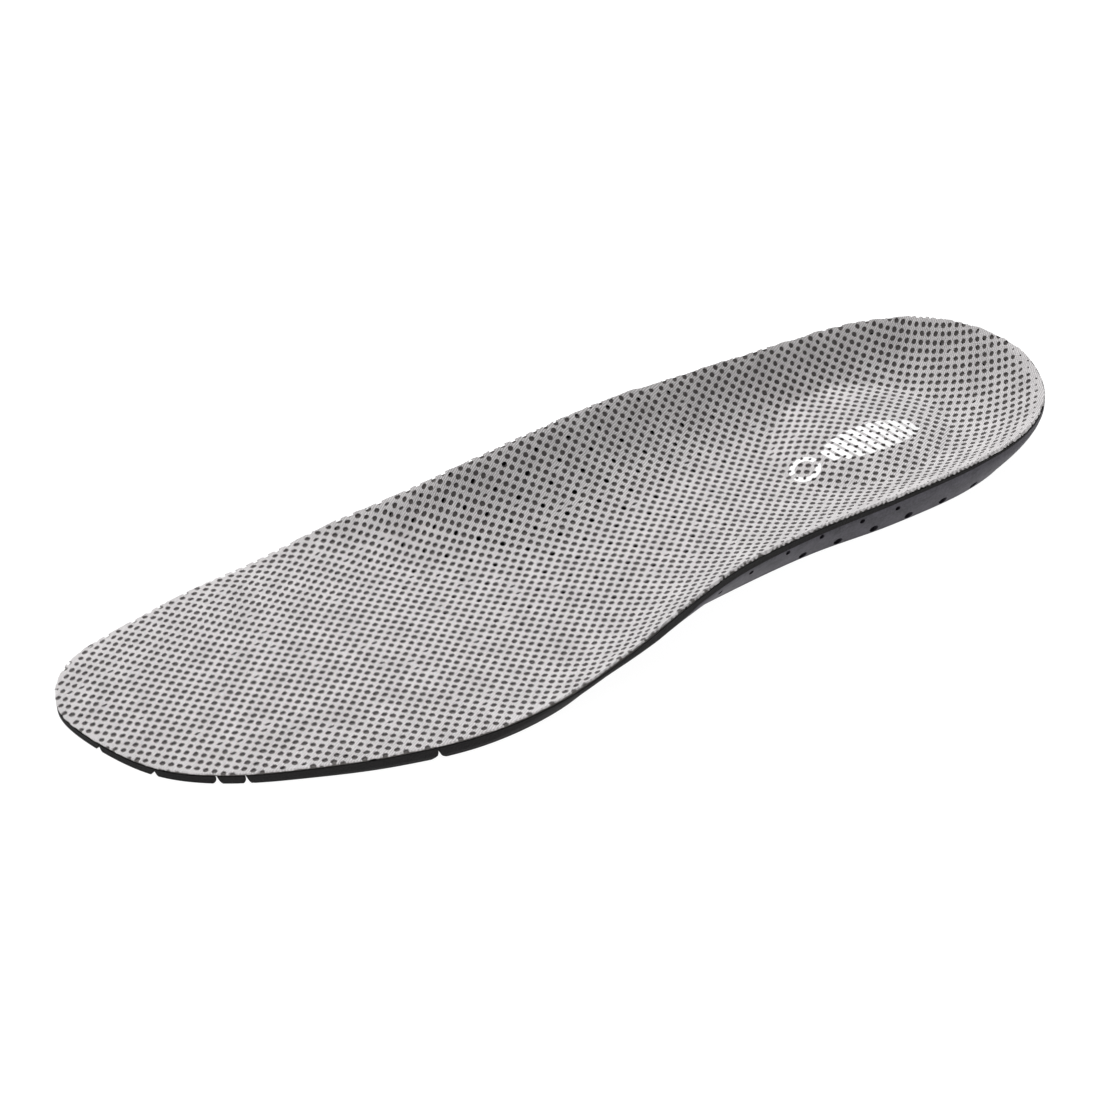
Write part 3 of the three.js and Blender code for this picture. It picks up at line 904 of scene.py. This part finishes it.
def knitted_polyester():
    """Knitted polyester mesh: matt, with fine slanted yarns and a faint sheen at grazing angles."""
    material, shader = new_material(
        "knitted polyester mesh", Roughness=0.85, Sheen_Weight=0.25, Sheen_Roughness=0.5, IOR=1.45
    )
    yarn = in_mm(material, "cloth", turn=math.radians(62))
    own_period = 0.314  # of the wave, in mm at scale 1
    waves = add(material, "TexWave", {
        "Vector": yarn, "Scale": own_period / YARN, "Distortion": 2.5,
        "Detail": 2, "Detail Scale": 1.2,
    }).outputs["Fac"]
    flat = in_mm(material, "cloth")
    fuzz = noise(material, flat, 3.2, 4)
    cloud = noise(material, flat, 0.12, 2)
    mixed = add(material, "Mix", {0: 0.55, 2: waves, 3: fuzz}).outputs[0]
    shade = add(material, "Mix", {0: 0.3, 2: mixed, 3: cloud}).outputs[0]
    spread = add(material, "MapRange", {0: shade, 1: 0.25, 2: 0.75}).outputs[0]
    colour = ramp(material, spread, "#a8a5a6", "#efecec")
    return finish_with(material, shader, colour, mixed, 0.2 * MM)


def backing_knit():
    """Backing knit: dark grey, matt and fuzzy, seen through the holes of the mesh."""
    material, shader = new_material("dark backing knit", Roughness=0.95, Sheen_Weight=0.1, IOR=1.45)
    cloth = in_mm(material, "cloth")
    fuzz = noise(material, cloth, 2.4, 5)
    colour = ramp(material, fuzz, "#454241", "#827e7c")
    return finish_with(material, shader, colour, fuzz, 0.15 * MM)


def transfer_film():
    """Heat-transfer film: bright white, a little smoother than the yarn that carries it."""
    material, shader = new_material("white transfer film", Roughness=0.5, IOR=1.5)
    cloth = in_mm(material, "cloth")
    wear = noise(material, cloth, 1.4, 3)
    colour = ramp(material, wear, "#f0f0f0", "#ffffff")
    return finish_with(material, shader, colour, wear, 0.04 * MM)


def cut_foam():
    """Open-cell polyurethane foam: near black and dull, with a torn fine grain where it is cut."""
    material, shader = new_material("black polyurethane foam", Roughness=0.92, IOR=1.45)
    place = in_mm(material, "object")
    cells = add(material, "TexVoronoi", {"Vector": place, "Scale": 2.2}).outputs["Distance"]
    cloud = noise(material, place, 0.5, 4)
    colour = ramp(material, cloud, "#0c0b0c", "#1c1a1b")
    return finish_with(material, shader, colour, cells, 0.14 * MM)


def moulded_skin():
    """Moulded polyurethane skin: charcoal with a violet cast, satin, finely pebbled by its mould."""
    material, shader = new_material("charcoal moulded polyurethane", Roughness=0.62, IOR=1.47)
    place = in_mm(material, "object")
    grain = noise(material, place, 1.3, 5)
    cloud = noise(material, place, 0.22, 3)
    shade = add(material, "Mix", {0: 0.5, 2: grain, 3: cloud}).outputs[0]
    spread = add(material, "MapRange", {0: shade, 1: 0.3, 2: 0.7}).outputs[0]
    colour = ramp(material, spread, "#201e25", "#49464f")
    return finish_with(material, shader, colour, grain, 0.12 * MM)


def gel_pad():
    """Soft polyurethane gel: mid grey, smooth and slightly glossy."""
    material, shader = new_material("grey gel foam", Roughness=0.45, Subsurface_Weight=0.1, IOR=1.45)
    place = in_mm(material, "object")
    cloud = noise(material, place, 0.3, 3)
    colour = ramp(material, cloud, "#5c5c60", "#77777b")
    return finish_with(material, shader, colour, cloud, 0.1 * MM)


# ------------------------------------------------------------------ the pieces
def dress(piece, material, node):
    """Gives a piece its material and hides the CAD node that it stands for."""
    piece.data.materials.clear()
    piece.data.materials.append(material)
    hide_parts(node)


def add_cloth():
    knit, outline = make_knit()
    film = make_print()
    lay(knit)
    lay(film)
    lining, lining_outline = make_lining()
    lay(lining)
    for piece in (knit, film, lining):
        smooth(piece)
    dress(knit, knitted_polyester(), "top_cover")
    dress(lining, backing_knit(), "cover_lining")
    dress(film, transfer_film(), "heel_print")
    for piece, line, under in (
        (knit, outline, "cover_lining"), (lining, lining_outline, "rear_foam"),
    ):
        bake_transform(piece)
    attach(film, "rearfoot")


def add_foams():
    body = make_body()
    foam, skin = cut_foam(), moulded_skin()
    rear = {"rear_foam": make_rear_foam(body)}
    front = {"ball_foam": make_ball_foam(body), "toe_bar_foam": make_toe_bar(body)}
    front.update(make_toe_islands(body))
    for foot, pieces in (("rearfoot", rear), ("forefoot", front)):
        for node, piece in pieces.items():
            smooth(piece)
            dress(piece, foam, node)
            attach(piece, foot)
    shell, pad = make_shell(body), make_heel_pad(body)
    smooth(shell)
    smooth(pad)
    dress(shell, skin, "heel_arch_shell")
    dress(pad, gel_pad(), "heel_cushion")
    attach(shell, "rearfoot")
    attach(pad, "rearfoot")
    discard(body)


# ------------------------------------------------------------------ studio
AZIMUTH, ELEVATION, ROLL = 154.5, 38.3, -4.4  # degrees
AIM = Vector((4.6 * MM, -7.3 * MM, 5.9 * MM))
DISTANCE = 769 * MM
LENS = 94.6


def direction(azimuth, elevation):
    """The way to a place around the object: azimuth 0 is off its arch side, 90 off its toes."""
    a, e = math.radians(azimuth), math.radians(elevation)
    return Vector((math.sin(a) * math.cos(e), -math.cos(a) * math.cos(e), math.sin(e)))


def add_camera():
    back = direction(AZIMUTH, ELEVATION)
    camera = bpy.data.objects.new("camera", bpy.data.cameras.new("camera"))
    bpy.context.scene.collection.objects.link(camera)
    camera.data.lens = LENS
    camera.data.clip_start, camera.data.clip_end = 0.01, 20
    camera.rotation_mode = "QUATERNION"
    upright = (-back).to_track_quat("-Z", "Y")
    camera.rotation_quaternion = upright @ Quaternion((0, 0, 1), math.radians(ROLL))
    camera.location = AIM + back * DISTANCE
    bpy.context.scene.camera = camera


def add_floor():
    """A pale floor that is mostly its own even light, so that only a faint shadow falls on it."""
    shape = bmesh.new()
    bmesh.ops.create_circle(shape, cap_ends=True, radius=3, segments=96)
    floor = piece_from("floor", shape)
    material, shader = new_material("white paper sweep", Roughness=1.0)
    shader.inputs["Base Color"].default_value = (0.25, 0.25, 0.25, 1)
    shader.inputs["Specular IOR Level"].default_value = 0.0
    shader.inputs["Emission Color"].default_value = (1, 1, 1, 1)
    shader.inputs["Emission Strength"].default_value = 0.96
    floor.data.materials.append(material)
    floor.location.z = -0.02 * MM


def add_light(name, azimuth, elevation, distance, size, power):
    lamp = bpy.data.lights.new(name, "AREA")
    lamp.shape = "DISK"
    lamp.size, lamp.energy = size, power
    light = bpy.data.objects.new(name, lamp)
    away = direction(azimuth, elevation)
    light.location = away * distance
    light.rotation_euler = (-away).to_track_quat("-Z", "Y").to_euler()
    bpy.context.scene.collection.objects.link(light)


def add_studio():
    world = bpy.data.worlds.new("studio")
    bpy.context.scene.world = world
    world.use_nodes = True
    background = world.node_tree.nodes["Background"]
    background.inputs["Color"].default_value = (1, 1, 1, 1)
    background.inputs["Strength"].default_value = 0.33
    add_light("key", azimuth=-12, elevation=51, distance=1.6, size=0.8, power=24)
    add_light("fill", azimuth=90, elevation=45, distance=1.8, size=1.2, power=2.5)
    bpy.context.scene.view_settings.view_transform = "Standard"


add_camera()
add_floor()
add_studio()
add_cloth()
add_foams()
